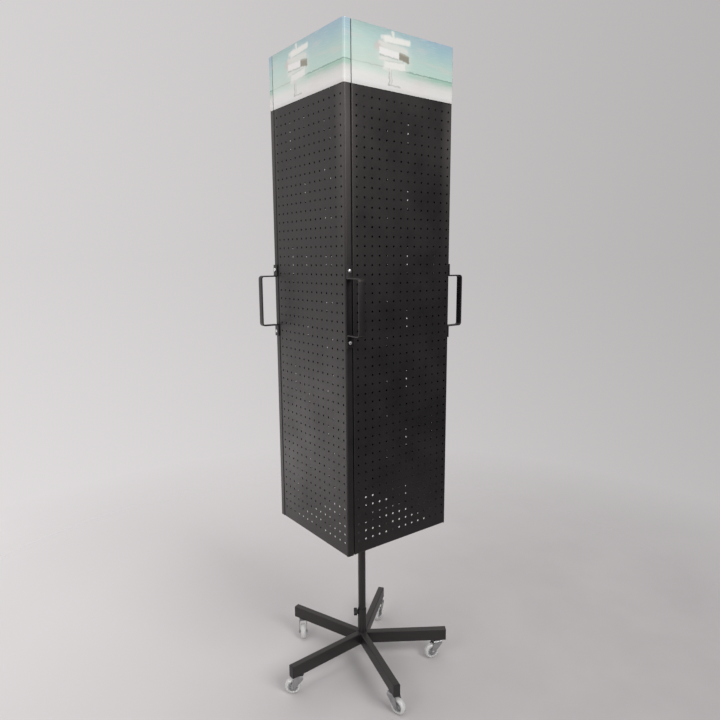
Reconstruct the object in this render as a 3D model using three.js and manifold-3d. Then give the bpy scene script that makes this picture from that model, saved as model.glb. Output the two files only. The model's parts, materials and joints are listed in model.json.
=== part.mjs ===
// Pegboard display stand: a square tower of pegboard panels that turns on a round pole, which stands in the
// socket of a five-legged base on swivel casters.
// Millimetres, +Z up. The origin is on the floor, on the pole's axis.
// The tower's faces look along -Y, +X, +Y and -X.
import * as THREE from "three";
import { mergeVertices } from "three/addons/utils/BufferGeometryUtils.js";
import Module from "manifold-3d";

// Driving dimensions.
const GAP = 0.3; // clearance between pieces that touch
const PEG_PITCH = 25.4;
const PEG_COLUMNS = 14;
const PEG_MARGIN = 15.4; // outer column to the edge of its sheet
const STRIP_WIDTH = 22; // the part of a panel bent round the corner on to the next face
const SLIT = 2; // between that strip and the next panel
const TOWER_BOTTOM = 515;
const TOWER_HEIGHT = 1435;
const HEADER_HEIGHT = 152;
const SHEET = 1.2; // panel thickness
const CORNER_RADIUS = 5; // outside radius of the tower's corners
const HEM = 20; // depth of the panels' inward edges
const PRINT_THICKNESS = 0.6; // header graphic

const POLE_RADIUS = 12.5;
const POLE_WALL = 1.5;
const POLE_TOP = 1880;
const SOCKET_RADIUS = 14.3;
const SOCKET_TOP = 190;
const SOCKET_FLOOR = 3; // thickness of the plate the pole stands on
const RUNNING = 0.35; // radial clearance round the pole and in the wheels

const LEG_COUNT = 5;
const FIRST_LEG = 38.2; // degrees from +X
const LEG_REACH = 287.3; // pole axis to the outer face of an end cap
const LEG_CAP_FLANGE = 3;
const LEG_WIDTH = 22;
const LEG_DEPTH = 40;
const LEG_WALL = 1.5;
const LEG_BOTTOM = 65;

const STEM_REACH = 258; // pole axis to a caster's stem
const CASTER_HEADINGS = [212, 239.5, 143.2, 283.2, 161.2]; // degrees from +X, the way each wheel trails
const TRAIL = 20;
const WHEEL_RADIUS = 25;
const WHEEL_WIDTH = 18;
const AXLE_RADIUS = 3;

const HANDLE_CENTRE = 1230.5; // height
const HANDLE_SPAN = 152.5; // between the middles of its two arms
const HANDLE_REACH = 58; // strip to the outer face of the grip
const HANDLE_WIDTH = 21;
const HANDLE_THICKNESS = 4;
const SCREW_SPAN = 192;
const FOOT_LENGTH = 35; // from the middle of an arm

const KNOB_HEIGHT = 177;
const KNOB_HEADING = 146.2; // degrees from +X
const KNOB_RADIUS = 12.3;
const KNOB_THICKNESS = 11;
const KNOB_ROUNDING = 2.5;
const KNOB_LOBES = 6;
const STUD_RADIUS = 4;
const LOCK_NUT_THICKNESS = 2; // welded to the socket

// Sizes worked out from them.
const FACE_WIDTH = (PEG_COLUMNS - 1) * PEG_PITCH + 2 * PEG_MARGIN;
const HALF = (STRIP_WIDTH + SLIT + FACE_WIDTH) / 2; // pole axis to a tower face
const SHEET_START = STRIP_WIDTH + SLIT - HALF; // left edge of a panel, seen from outside
const TOWER_TOP = TOWER_BOTTOM + TOWER_HEIGHT;
const LEG_END = LEG_REACH - LEG_CAP_FLANGE - GAP;
const POLE_BOTTOM = LEG_BOTTOM + SOCKET_FLOOR + GAP;

const BLACK_STEEL = { color: 0x262425, roughness: 0.5, metalness: 0.3 };
const BLACK_PLASTIC = { color: 0x141414, roughness: 0.55, metalness: 0 };
const ZINC = { color: 0x8c8f92, roughness: 0.35, metalness: 0.9 };
const BRIGHT_STEEL = { color: 0xe4e4e6, roughness: 0.2, metalness: 1 };
const CLEAR_WHEEL = { color: 0xdcdedc, roughness: 0.25, metalness: 0 };
const PRINT = { color: 0xa9cbc6, roughness: 0.35, metalness: 0 };

const wasm = await Module();
wasm.setup();
const stand = new THREE.Group();

// ---- Tools

function radians(degrees) {
  return THREE.MathUtils.degToRad(degrees);
}

function solid(geometry) {
  const bare = geometry.clone();
  bare.deleteAttribute("normal");
  bare.deleteAttribute("uv");
  const merged = mergeVertices(bare, 1e-3);
  const vertProperties = merged.attributes.position.array;
  const triVerts = new Uint32Array(merged.index.array);
  return new wasm.Manifold(new wasm.Mesh({ numProp: 3, vertProperties, triVerts }));
}

function geometryOf(manifold) {
  const mesh = manifold.getMesh();
  const geometry = new THREE.BufferGeometry();
  geometry.setAttribute("position", new THREE.BufferAttribute(mesh.vertProperties, 3));
  geometry.setIndex(new THREE.BufferAttribute(mesh.triVerts, 1));
  const flat = geometry.toNonIndexed();
  flat.computeVertexNormals();
  return flat;
}

function joined(first, ...others) {
  return geometryOf(others.reduce((whole, other) => whole.add(solid(other)), solid(first)));
}

function cut(first, ...others) {
  return geometryOf(others.reduce((whole, other) => whole.subtract(solid(other)), solid(first)));
}

function add(name, look, geometry) {
  const mesh = new THREE.Mesh(geometry, new THREE.MeshStandardMaterial(look));
  mesh.name = name;
  stand.add(mesh);
}

function box(low, high) {
  const size = high.map((value, i) => value - low[i]);
  const middle = high.map((value, i) => (value + low[i]) / 2);
  return new THREE.BoxGeometry(...size).translate(...middle);
}

// A turned piece about +Z. Its outline, as [radius, height] pairs, starts at its top by the axis, then runs
// outwards and down. An outline that doesn't start on the axis is closed on itself.
function turned(outline, segments) {
  const points = outline.map(([radius, height]) => new THREE.Vector2(radius, height));
  if (outline[0][0] > 0) points.push(points[0]);
  return new THREE.LatheGeometry(points.reverse(), segments).rotateX(Math.PI / 2);
}

function rod(radius, low, high, segments) {
  return turned([[0, high], [radius, high], [radius, low], [0, low]], segments);
}

// Turns a piece built along +Z so that it points along +X.
function alongX(geometry) {
  return geometry.rotateY(Math.PI / 2);
}

function extruded(shape, depth, steps) {
  return new THREE.ExtrudeGeometry(shape, { depth, bevelEnabled: false, curveSegments: steps });
}

function roundedRectangle(width, height, radius) {
  const [x, y] = [width / 2 - radius, height / 2 - radius];
  const shape = new THREE.Shape();
  shape.absarc(x, y, radius, 0, Math.PI / 2);
  shape.absarc(-x, y, radius, Math.PI / 2, Math.PI);
  shape.absarc(-x, -y, radius, Math.PI, 1.5 * Math.PI);
  shape.absarc(x, -y, radius, 1.5 * Math.PI, 2 * Math.PI);
  return shape;
}

// The outline of a sheet or bar of one thickness, bent along a centre line of [x, y, bend radius] corners.
function bent(corners, thickness, steps) {
  const left = [];
  const right = [];
  const leftOf = (direction) => new THREE.Vector2(-direction.y, direction.x);
  const put = (point, normal) => {
    left.push(point.clone().addScaledVector(normal, thickness / 2));
    right.unshift(point.clone().addScaledVector(normal, -thickness / 2));
  };
  const points = corners.map(([x, y]) => new THREE.Vector2(x, y));
  points.forEach((point, i) => {
    const into = point.clone().sub(points[i - 1] ?? point).normalize();
    const out = (points[i + 1] ?? point).clone().sub(point).normalize();
    if (i === 0) return put(point, leftOf(out));
    if (i === points.length - 1) return put(point, leftOf(into));
    const radius = corners[i][2];
    const turn = Math.atan2(into.cross(out), into.dot(out));
    const side = Math.sign(turn);
    const start = point.clone().addScaledVector(into, -radius * Math.tan(Math.abs(turn) / 2));
    const centre = start.addScaledVector(leftOf(into), side * radius);
    for (let step = 0; step <= steps; step++) {
      const normal = leftOf(into).rotateAround(new THREE.Vector2(), (turn * step) / steps);
      put(centre.clone().addScaledVector(normal, -side * radius), normal);
    }
  });
  return new THREE.Shape([...left, ...right]);
}

// ---- Base: socket, legs and end caps

function addSocket() {
  const bore = POLE_RADIUS + GAP;
  const nutRadius = 7.5;
  const tube = turned(
    [
      [bore, SOCKET_TOP],
      [SOCKET_RADIUS, SOCKET_TOP],
      [SOCKET_RADIUS, LEG_BOTTOM],
      [0, LEG_BOTTOM],
      [0, LEG_BOTTOM + SOCKET_FLOOR],
      [bore, LEG_BOTTOM + SOCKET_FLOOR],
    ],
    24,
  );
  const nutFace = SOCKET_RADIUS + LOCK_NUT_THICKNESS;
  const weldedNut = alongX(rod(nutRadius, bore + 0.5, nutFace, 6));
  const studHole = alongX(rod(STUD_RADIUS + GAP, 0, nutFace + 1, 12));
  const place = (piece) => piece.rotateZ(radians(KNOB_HEADING)).translate(0, 0, KNOB_HEIGHT);
  add("base_socket", BLACK_STEEL, cut(joined(tube, place(weldedNut)), place(studHole)));
}

function addLeg(number, heading) {
  const start = SOCKET_RADIUS + GAP;
  const plugLength = 14;
  const corner = 3;
  // Shapes here lie across the leg: the first side is its depth, the second its width.
  const outline = roundedRectangle(LEG_DEPTH, LEG_WIDTH, corner);
  const [depth, width] = [LEG_DEPTH - 2 * LEG_WALL, LEG_WIDTH - 2 * LEG_WALL];
  outline.holes.push(roundedRectangle(depth, width, corner - LEG_WALL));
  const place = (piece) => alongX(piece).translate(0, 0, LEG_BOTTOM + LEG_DEPTH / 2);
  const tube = place(extruded(outline, LEG_END - start, 1).translate(0, 0, start));
  const stemHole = rod(5.5, LEG_BOTTOM - 1, LEG_BOTTOM + 5, 12).translate(STEM_REACH, 0, 0);
  // The inner end is mitred, so that neighbouring legs meet halfway between their headings.
  const halfway = 180 / LEG_COUNT;
  const mitre = (right, left, turn) =>
    box([0, right, LEG_BOTTOM - 1], [2 * LEG_WIDTH, left, LEG_BOTTOM + LEG_DEPTH + 1]).rotateZ(radians(turn));
  const mitres = [mitre(-GAP / 2, LEG_WIDTH, halfway), mitre(-LEG_WIDTH, GAP / 2, -halfway)];
  add(`leg_${number}`, BLACK_STEEL, cut(tube, stemHole, ...mitres).rotateZ(heading));

  const plugShape = roundedRectangle(depth - 2 * GAP, width - 2 * GAP, corner - LEG_WALL);
  const plug = extruded(plugShape, plugLength + GAP, 1).translate(0, 0, LEG_END - plugLength);
  const flangeShape = roundedRectangle(LEG_DEPTH, LEG_WIDTH, corner);
  const flange = extruded(flangeShape, LEG_CAP_FLANGE, 1).translate(0, 0, LEG_END + GAP);
  add(`leg_cap_${number}`, BLACK_PLASTIC, joined(place(plug), place(flange)).rotateZ(heading));
}

// ---- Casters

function addCaster(number, legHeading, trailHeading) {
  const stemAt = [STEM_REACH * Math.cos(legHeading), STEM_REACH * Math.sin(legHeading)];
  const fork = { top: 61.9, thickness: 2.5, halfLength: 14, side: 2, foot: 7, brow: 54 };
  const underside = fork.top - fork.thickness;
  const inner = WHEEL_WIDTH / 2 + 0.8;
  const outer = inner + fork.side;
  const place = (piece) => piece.rotateZ(trailHeading).translate(stemAt[0], stemAt[1], 0);

  // The stem stands in the leg. Its collar is under the leg, and its riveted end holds the fork up.
  const stem = { radius: 5, top: 93, neck: 4.5, collar: 13, rivet: 7.5, rivetHeight: 2.5 };
  const stemOutline = [
    [0, stem.top],
    [stem.radius, stem.top],
    [stem.radius, LEG_BOTTOM - GAP],
    [stem.collar, LEG_BOTTOM - GAP],
    [stem.collar, fork.top + GAP],
    [stem.neck, fork.top + GAP],
    [stem.neck, underside - GAP],
    [stem.rivet, underside - GAP],
    [stem.rivet, underside - GAP - stem.rivetHeight],
    [0, underside - GAP - stem.rivetHeight],
  ];
  add(`caster_stem_${number}`, ZINC, place(turned(stemOutline, 12)));

  // A cheek is drawn along the trail (x) and height (y), then stood upright beside the wheel.
  const cheek = new THREE.Shape();
  cheek.moveTo(-fork.halfLength, fork.top);
  cheek.lineTo(-fork.halfLength, fork.brow);
  cheek.absarc(TRAIL, WHEEL_RADIUS, fork.foot, radians(205), radians(365));
  cheek.lineTo(fork.halfLength, fork.top);
  cheek.holes.push(new THREE.Path().absarc(TRAIL, WHEEL_RADIUS, AXLE_RADIUS + RUNNING, 0, 2 * Math.PI));
  const upright = () => extruded(cheek, fork.side, 4).rotateX(Math.PI / 2);
  const plate = box([-fork.halfLength, -outer, underside], [fork.halfLength, outer, fork.top]);
  const yoke = joined(plate, upright().translate(0, outer, 0), upright().translate(0, -inner, 0));
  const neckHole = rod(stem.neck + RUNNING, underside - 1, fork.top + 1, 12);
  add(`caster_fork_${number}`, ZINC, place(cut(yoke, neckHole)));

  const acrossWheel = (piece) => piece.rotateX(Math.PI / 2).translate(TRAIL, 0, WHEEL_RADIUS);
  const axle = { head: 5.2, headHeight: 3.5, seat: outer + GAP };
  const axleOutline = [
    [0, axle.seat + axle.headHeight],
    [axle.head, axle.seat + axle.headHeight],
    [axle.head, axle.seat],
    [AXLE_RADIUS, axle.seat],
    [AXLE_RADIUS, -axle.seat],
    [axle.head, -axle.seat],
    [axle.head, -axle.seat - axle.headHeight],
    [0, -axle.seat - axle.headHeight],
  ];
  add(`caster_axle_${number}`, ZINC, place(acrossWheel(turned(axleOutline, 10))));

  const half = WHEEL_WIDTH / 2;
  const recess = 2.5; // the hub's sides stand back from the tyre's
  const wheelSide = [
    [AXLE_RADIUS + RUNNING, half - recess],
    [15, half - recess],
    [16.5, half],
    [WHEEL_RADIUS - 3, half],
    [WHEEL_RADIUS, half - 3],
  ];
  const farSide = wheelSide.map(([radius, height]) => [radius, -height]).reverse();
  add(`caster_wheel_${number}`, CLEAR_WHEEL, place(acrossWheel(turned([...wheelSide, ...farSide], 22))));
}

// ---- Lock screw and knob

function addLock() {
  const tip = POLE_RADIUS + RUNNING;
  const knobStart = SOCKET_RADIUS + LOCK_NUT_THICKNESS + 2 * GAP;
  const studEnd = knobStart + KNOB_THICKNESS - 2;
  const place = (piece) => piece.rotateZ(radians(KNOB_HEADING)).translate(0, 0, KNOB_HEIGHT);
  add("lock_stud", ZINC, place(alongX(rod(STUD_RADIUS, tip, studEnd, 12))));

  const lobe = KNOB_RADIUS * 0.09;
  const steps = KNOB_LOBES * 6;
  const rim = Array.from({ length: steps }, (_, step) => {
    const turn = (step / steps) * 2 * Math.PI;
    const radius = KNOB_RADIUS - lobe + lobe * Math.cos(KNOB_LOBES * turn);
    return new THREE.Vector2(radius * Math.cos(turn), radius * Math.sin(turn));
  });
  const grip = new THREE.ExtrudeGeometry(new THREE.Shape(rim), {
    depth: KNOB_THICKNESS - 2 * KNOB_ROUNDING,
    bevelThickness: KNOB_ROUNDING,
    bevelSize: KNOB_ROUNDING,
    bevelOffset: -KNOB_ROUNDING,
    bevelSegments: 2,
  }).translate(0, 0, knobStart + KNOB_ROUNDING);
  const bore = rod(STUD_RADIUS + RUNNING, knobStart - 1, studEnd + GAP, 12);
  add("lock_knob", BLACK_PLASTIC, place(alongX(cut(grip, bore))));
}

// ---- Pole, its thrust collar and its top pivot

const LOWER_HUB = { low: 519, high: 553 };
const UPPER_HUB = { low: 1850, high: 1892 };
const PIVOT = { radius: 6, flange: 3, top: 1900 };

function addPole() {
  const bore = POLE_RADIUS - POLE_WALL;
  const tube = [[bore, POLE_TOP], [POLE_RADIUS, POLE_TOP], [POLE_RADIUS, POLE_BOTTOM], [bore, POLE_BOTTOM]];
  add("pole", BLACK_STEEL, turned(tube, 24));

  const inner = POLE_RADIUS + GAP;
  const collar = { outer: 20, top: LOWER_HUB.low - GAP, bottom: LOWER_HUB.low - GAP - 14 };
  const ring = [
    [inner, collar.top],
    [collar.outer, collar.top],
    [collar.outer, collar.bottom],
    [inner, collar.bottom],
  ];
  add("thrust_collar", BLACK_STEEL, turned(ring, 24));

  const seat = POLE_TOP + GAP;
  const plug = 20;
  const cap = [
    [0, PIVOT.top],
    [PIVOT.radius, PIVOT.top],
    [PIVOT.radius, seat + PIVOT.flange],
    [POLE_RADIUS, seat + PIVOT.flange],
    [POLE_RADIUS, seat],
    [bore - GAP, seat],
    [bore - GAP, seat - plug],
    [0, seat - plug],
  ];
  add("pole_pivot", BLACK_PLASTIC, turned(cap, 16));
}

// ---- Cross frames that carry the panels

function crossArms(bottom, height) {
  const tab = { thickness: 3, halfWidth: 16 };
  const bar = 5;
  const start = POLE_RADIUS + 2;
  const end = HALF - SHEET - GAP;
  const arm = box([start, -bar / 2, bottom], [end - 1, bar / 2, bottom + height]);
  const foot = box([end - tab.thickness, -tab.halfWidth, bottom], [end, tab.halfWidth, bottom + height]);
  const quarter = joined(arm, foot);
  return [0, 90, 180, 270].map((turn) => quarter.clone().rotateZ(radians(turn)));
}

function addCrossFrames() {
  const inner = POLE_RADIUS + RUNNING;
  const outer = 17.5;
  const armHeight = 25;
  const lower = turned(
    [[inner, LOWER_HUB.high], [outer, LOWER_HUB.high], [outer, LOWER_HUB.low], [inner, LOWER_HUB.low]],
    24,
  );
  add("lower_cross", BLACK_STEEL, joined(lower, ...crossArms(LOWER_HUB.low + 4, armHeight)));

  const ceiling = POLE_TOP + PIVOT.flange + 2 * GAP;
  const pinHole = PIVOT.radius + RUNNING;
  const upper = turned(
    [
      [pinHole, UPPER_HUB.high],
      [outer, UPPER_HUB.high],
      [outer, UPPER_HUB.low],
      [inner, UPPER_HUB.low],
      [inner, ceiling],
      [pinHole, ceiling],
    ],
    24,
  );
  add("upper_cross", BLACK_STEEL, joined(upper, ...crossArms(UPPER_HUB.low + 5, armHeight)));
}

// ---- One side of the tower: panel, header graphic, handle and its screws
// Each is built for the face that looks along -Y, whose strip is on the +X face, then turned to its own face.

function screwHeights() {
  return [HANDLE_CENTRE - SCREW_SPAN / 2, HANDLE_CENTRE + SCREW_SPAN / 2];
}

function screwHole(height) {
  const radius = 2.9;
  return alongX(rod(radius, HALF - 5, HALF + 10, 10)).translate(0, STRIP_WIDTH / 2 - HALF, height);
}

function panel() {
  const middle = SHEET / 2;
  const small = 2;
  const outline = bent(
    [
      [SHEET_START + middle, HEM - HALF],
      [SHEET_START + middle, middle - HALF, small],
      [HALF - middle, middle - HALF, CORNER_RADIUS - middle],
      [HALF - middle, STRIP_WIDTH - HALF - middle, small],
      [HALF - HEM, STRIP_WIDTH - HALF - middle],
    ],
    SHEET,
    3,
  );
  const sheet = extruded(outline, TOWER_HEIGHT, 1).translate(0, 0, TOWER_BOTTOM);
  const hem = (low) =>
    box([SHEET_START + 3, 0.5 - HALF, low], [HALF - CORNER_RADIUS, HEM - HALF, low + SHEET]);
  const hemmed = joined(sheet, hem(TOWER_BOTTOM), hem(TOWER_TOP - SHEET));
  return cut(hemmed, headerBed(), ...screwHeights().map(screwHole));
}

// The header graphic lies in a very shallow bed, so the peg area below it is a flat face of its own.
function headerBed() {
  const depth = 1;
  const setBack = 0.1;
  const overrun = 1;
  const away = depth / 2 - setBack;
  const low = TOWER_TOP - HEADER_HEIGHT - GAP;
  const outline = bent(
    [
      [SHEET_START - overrun, -HALF - away],
      [HALF + away, -HALF - away, CORNER_RADIUS + away],
      [HALF + away, STRIP_WIDTH - HALF + overrun],
    ],
    depth,
    3,
  );
  return extruded(outline, TOWER_TOP + overrun - low, 1).translate(0, 0, low);
}

function headerGraphic() {
  const away = GAP + PRINT_THICKNESS / 2;
  const outline = bent(
    [
      [SHEET_START, -HALF - away],
      [HALF + away, -HALF - away, CORNER_RADIUS + away],
      [HALF + away, STRIP_WIDTH - HALF],
    ],
    PRINT_THICKNESS,
    4,
  );
  return extruded(outline, HEADER_HEIGHT, 1).translate(0, 0, TOWER_TOP - HEADER_HEIGHT);
}

function handle() {
  const [low, high] = [HANDLE_CENTRE - HANDLE_SPAN / 2, HANDLE_CENTRE + HANDLE_SPAN / 2];
  const foot = GAP + HANDLE_THICKNESS / 2;
  const grip = HANDLE_REACH - HANDLE_THICKNESS / 2;
  const footBend = 4;
  const gripBend = 8;
  const outline = bent(
    [
      [foot, low - FOOT_LENGTH],
      [foot, low, footBend],
      [grip, low, gripBend],
      [grip, high, gripBend],
      [foot, high, footBend],
      [foot, high + FOOT_LENGTH],
    ],
    HANDLE_THICKNESS,
    3,
  );
  // The outline's x runs out from the strip and its y runs up.
  const upright = new THREE.Matrix4().makeBasis(
    new THREE.Vector3(1, 0, 0),
    new THREE.Vector3(0, 0, 1),
    new THREE.Vector3(0, -1, 0),
  );
  const bar = extruded(outline, HANDLE_WIDTH, 1).applyMatrix4(upright);
  const placed = bar.translate(HALF, (STRIP_WIDTH + HANDLE_WIDTH) / 2 - HALF, 0);
  return cut(placed, ...screwHeights().map(screwHole));
}

function screw(height) {
  const head = { seat: GAP + HANDLE_THICKNESS + GAP, radius: 5.6, shoulder: 4.7, height: 3 };
  const shank = 2.5;
  const nut = { seat: -SHEET - GAP, radius: 4.6, height: 4 };
  const outline = [
    [0, head.seat + head.height],
    [head.shoulder / 2, head.seat + head.height],
    [head.shoulder, head.seat + head.height / 2],
    [head.radius, head.seat],
    [shank, head.seat],
    [shank, nut.seat],
    [nut.radius, nut.seat],
    [nut.radius, nut.seat - nut.height],
    [0, nut.seat - nut.height],
  ];
  return alongX(turned(outline, 10)).translate(HALF, STRIP_WIDTH / 2 - HALF, height);
}

function addTowerSide(number) {
  const face = (geometry) => geometry.rotateZ(((number - 1) * Math.PI) / 2);
  add(`panel_${number}`, BLACK_STEEL, face(panel()));
  add(`header_${number}`, PRINT, face(headerGraphic()));
  add(`handle_${number}`, BLACK_STEEL, face(handle()));
  screwHeights().forEach((height, i) => {
    add(`handle_screw_${number}${"ab"[i]}`, BRIGHT_STEEL, face(screw(height)));
  });
}

// ---- Assembly

addSocket();
CASTER_HEADINGS.forEach((trail, i) => {
  const heading = radians(FIRST_LEG + (i * 360) / LEG_COUNT);
  addLeg(i + 1, heading);
  addCaster(i + 1, heading, radians(trail));
});
addLock();
addPole();
addCrossFrames();
for (let number = 1; number <= 4; number++) addTowerSide(number);

export default stand;
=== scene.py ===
"""Looks of the pegboard display stand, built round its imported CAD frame.

Metres, +Z up, in the frame of the CAD: the origin is on the floor, on the pole's axis. The tower's sides are
alike, so each is made as side 1 and then turned. Side 1's panel looks along -Y, and its strip is bent on to
the +X face.
"""

import json
import math

import bpy
from mathutils import Matrix, Vector


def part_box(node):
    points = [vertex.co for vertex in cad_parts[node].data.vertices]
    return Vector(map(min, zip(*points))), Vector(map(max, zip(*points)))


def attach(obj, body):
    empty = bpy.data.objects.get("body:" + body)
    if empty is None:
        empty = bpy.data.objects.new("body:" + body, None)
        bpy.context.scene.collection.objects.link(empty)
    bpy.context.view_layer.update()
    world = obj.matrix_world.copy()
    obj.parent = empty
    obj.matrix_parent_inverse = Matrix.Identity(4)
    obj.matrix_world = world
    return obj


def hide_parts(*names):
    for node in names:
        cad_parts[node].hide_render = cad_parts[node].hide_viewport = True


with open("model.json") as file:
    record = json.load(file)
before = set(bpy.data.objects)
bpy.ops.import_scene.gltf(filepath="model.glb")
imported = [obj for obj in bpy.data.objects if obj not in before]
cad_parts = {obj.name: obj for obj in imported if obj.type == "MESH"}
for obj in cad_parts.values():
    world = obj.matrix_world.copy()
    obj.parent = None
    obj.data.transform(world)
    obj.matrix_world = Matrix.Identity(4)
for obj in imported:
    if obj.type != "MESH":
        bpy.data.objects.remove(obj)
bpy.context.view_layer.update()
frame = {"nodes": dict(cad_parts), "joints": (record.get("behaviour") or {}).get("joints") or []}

MM = 0.001
QUARTERS = (0, 90, 180, 270)
SCENE = bpy.context.scene

# ---- Sizes that the frame doesn't state ----

PEG_PITCH = 25.4 * MM
PEG_RADIUS = 3.1 * MM
PEG_COLUMNS = 14
PEG_ROWS_BELOW_HEADER = 49
PEG_ROWS_BEHIND_HEADER = 5
PEG_MARGIN = 15.4 * MM  # outer column to the edge of its sheet
SHEET = 1.2 * MM
CORNER_RADIUS = 5 * MM
EDGE_RADIUS = 2.6 * MM  # where a panel's edges turn inwards
HEM = 20 * MM
EASE = 0.5 * MM  # flat strip beside a bend, which keeps the bend's shading off the flat
SET_BACK = 0.3 * MM  # from the CAD's line at each side of a slit between two panels, to the sheet
CLEARANCE = 0.3 * MM  # between pieces that touch, as in the CAD

# ---- Places from the frame ----

panel_low, panel_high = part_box("panel_1")
header_low, header_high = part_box("header_1")
handle_low, handle_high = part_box("handle_1")
FACE = panel_high.x  # pole axis to a tower face
TOWER_LOW = panel_low.z
TOWER_HIGH = panel_high.z
HEADER_LOW = header_low.z
STRIP_MIDDLE = (handle_low.y + handle_high.y) / 2
FILM_LENGTH = (header_high.x - header_low.x) + (header_high.y - header_low.y)
FILM_HEIGHT = TOWER_HIGH - HEADER_LOW


# ---- Shape tools ----


def circle_steps(count):
    return [2 * math.pi * i / count for i in range(count)]


def arc(centre, radius, start, end, steps):
    """Points on a circle in a plane, from one angle in degrees to another."""
    angles = [math.radians(start + (end - start) * i / steps) for i in range(steps + 1)]
    return [(centre[0] + radius * math.cos(a), centre[1] + radius * math.sin(a)) for a in angles]


def hexagon(radius):
    return arc((0, 0), radius, 0, 300, 5)


def rounded_rectangle(width, height, radius, steps=5):
    """Outline of a rectangle round its centre, anticlockwise."""
    x, y = width / 2 - radius, height / 2 - radius
    corners = zip(((x, y), (-x, y), (-x, -y), (x, -y)), QUARTERS)
    return [p for centre, start in corners for p in arc(centre, radius, start, start + 90, steps)]


class Shell:
    """Vertices and faces gathered for one mesh; points that coincide are shared."""

    points_per_metre = 1e7  # how finely two points are told apart

    def __init__(self):
        self.verts = []
        self.faces = []
        self.known = {}

    def vert(self, point):
        key = tuple(round(c * self.points_per_metre) for c in point)
        if key not in self.known:
            self.known[key] = len(self.verts)
            self.verts.append(Vector(point))
        return self.known[key]

    def face(self, points):
        ring = [self.vert(p) for p in points]
        ring = [v for i, v in enumerate(ring) if v != ring[i - 1]]
        if len(ring) > 2:
            self.faces.append(ring)

    def add(self, other, matrix=Matrix.Identity(4)):
        start = len(self.verts)
        self.verts += [matrix @ v for v in other.verts]
        self.faces += [[start + i for i in face] for face in other.faces]
        return self

    def moved(self, matrix):
        return Shell().add(self, matrix)


def rings(loops, closed_ends=True):
    """A shell through loops of points, each joined to the next, anticlockwise seen from the far end."""
    shell = Shell()
    for near, far in zip(loops, loops[1:]):
        count = len(near)
        for i in range(count):
            j = (i + 1) % count
            shell.face([near[i], near[j], far[j], far[i]])
    if closed_ends:
        shell.face(loops[0][::-1])
        shell.face(loops[-1])
    return shell


def turned(profile, segments):
    """A piece turned about +Z. The profile of (radius, height) runs upwards on the outside, from axis to axis
    or round a ring and back to its start."""
    steps = circle_steps(segments)
    loops = [[(r * math.cos(a), r * math.sin(a), z) for a in steps] for r, z in profile]
    return rings(loops, closed_ends=False)


def rod(radius, low, high, segments):
    return turned([(0, low), (radius, low), (radius, high), (0, high)], segments)


def tube(bore, radius, low, high, rounding, segments):
    profile = soften([(bore, low), (radius, low), (radius, high), (bore, high)], rounding)
    return turned(profile + [profile[0]], segments)


def prism(outline, low, high):
    """An outline in x and y, anticlockwise, carried from one height to another."""
    return rings([[(x, y, z) for x, y in outline] for z in (low, high)])


def along_x(outline, start, end):
    """An outline in y and z, anticlockwise seen from +X, carried from one x to another."""
    return rings([[(x, y, z) for y, z in outline] for x in (start, end)])


def soften(profile, radius, steps=3):
    """Rounds every corner of an open profile, other than its ends."""
    most = 0.45  # the share of a side that one corner may take
    points = [Vector(p) for p in profile]
    out = [points[0]]
    for before, corner, after in zip(points, points[1:], points[2:]):
        into, away = before - corner, after - corner
        reach = min(radius, into.length * most, away.length * most)
        start, end = corner + into.normalized() * reach, corner + away.normalized() * reach
        for i in range(steps + 1):
            t = i / steps
            out.append(start * (1 - t) ** 2 + corner * 2 * t * (1 - t) + end * t**2)
    return [tuple(p) for p in out + [points[-1]]]


def bent_path(corners, steps=8):
    """Centre line through (x, y, bend radius) corners as (point, direction) pairs, with round bends."""
    points = [Vector(c[:2]) for c in corners]
    path = [(points[0], (points[1] - points[0]).normalized())]
    for i in range(1, len(points) - 1):
        into = (points[i] - points[i - 1]).normalized()
        out = (points[i + 1] - points[i]).normalized()
        turn = into.angle_signed(out) * -1
        radius = corners[i][2]
        start = points[i] - into * radius * math.tan(abs(turn) / 2)
        normal = Vector((-into.y, into.x)) * math.copysign(1, turn)
        centre = start + normal * radius
        for step in range(steps + 1):
            spin = Matrix.Rotation(turn * step / steps, 2)
            path.append((centre - spin @ normal * radius, spin @ into))
    path.append((points[-1], (points[-1] - points[-2]).normalized()))
    return path


def swept_bar(corners, thickness, width, edge):
    """A flat bar bent in the x-z plane, its width along y, with eased edges."""
    section = rounded_rectangle(thickness, width, edge, 3)
    loops = []
    for point, along in bent_path(corners):
        side = Vector((along.y, -along.x))
        loops.append([(point.x + side.x * a, b, point.y + side.y * a) for a, b in section])
    return rings(loops)


def weld_bead(path, radius, closed=False):
    """A rippled bead of weld along a line of points."""
    ripple, steps_per_ripple, swell_share = 1.9 * MM, 4, 0.13
    blunt_end = 0.55  # an open bead's radius at its ends, as a share
    upright = 0.9  # a direction's z above which it counts as vertical
    dense = []
    for a, b in zip(path, path[1:] + path[:1] if closed else path[1:]):
        count = max(1, round((b - a).length / (ripple / steps_per_ripple)))
        dense += [a.lerp(b, i / count) for i in range(count)]
    if not closed:
        dense.append(path[-1])
    loops = []
    travelled = 0.0
    for i, point in enumerate(dense):
        following = dense[(i + 1) % len(dense)] if closed or i + 1 < len(dense) else point
        previous = dense[i - 1] if closed or i else point
        along = (following - previous).normalized()
        travelled += (point - previous).length
        side = along.orthogonal() if abs(along.z) > upright else along.cross(Vector((0, 0, 1)))
        side.normalize()
        up = side.cross(along)
        swell = radius * (1 + swell_share * math.cos(2 * math.pi * travelled / ripple))
        if not closed and i in (0, len(dense) - 1):
            swell *= blunt_end
        turns = circle_steps(8)
        loops.append([tuple(point + (side * math.cos(a) + up * math.sin(a)) * swell) for a in turns])
    if closed:
        loops.append(loops[0])
    return rings([loop[::-1] for loop in loops], closed_ends=not closed)


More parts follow.
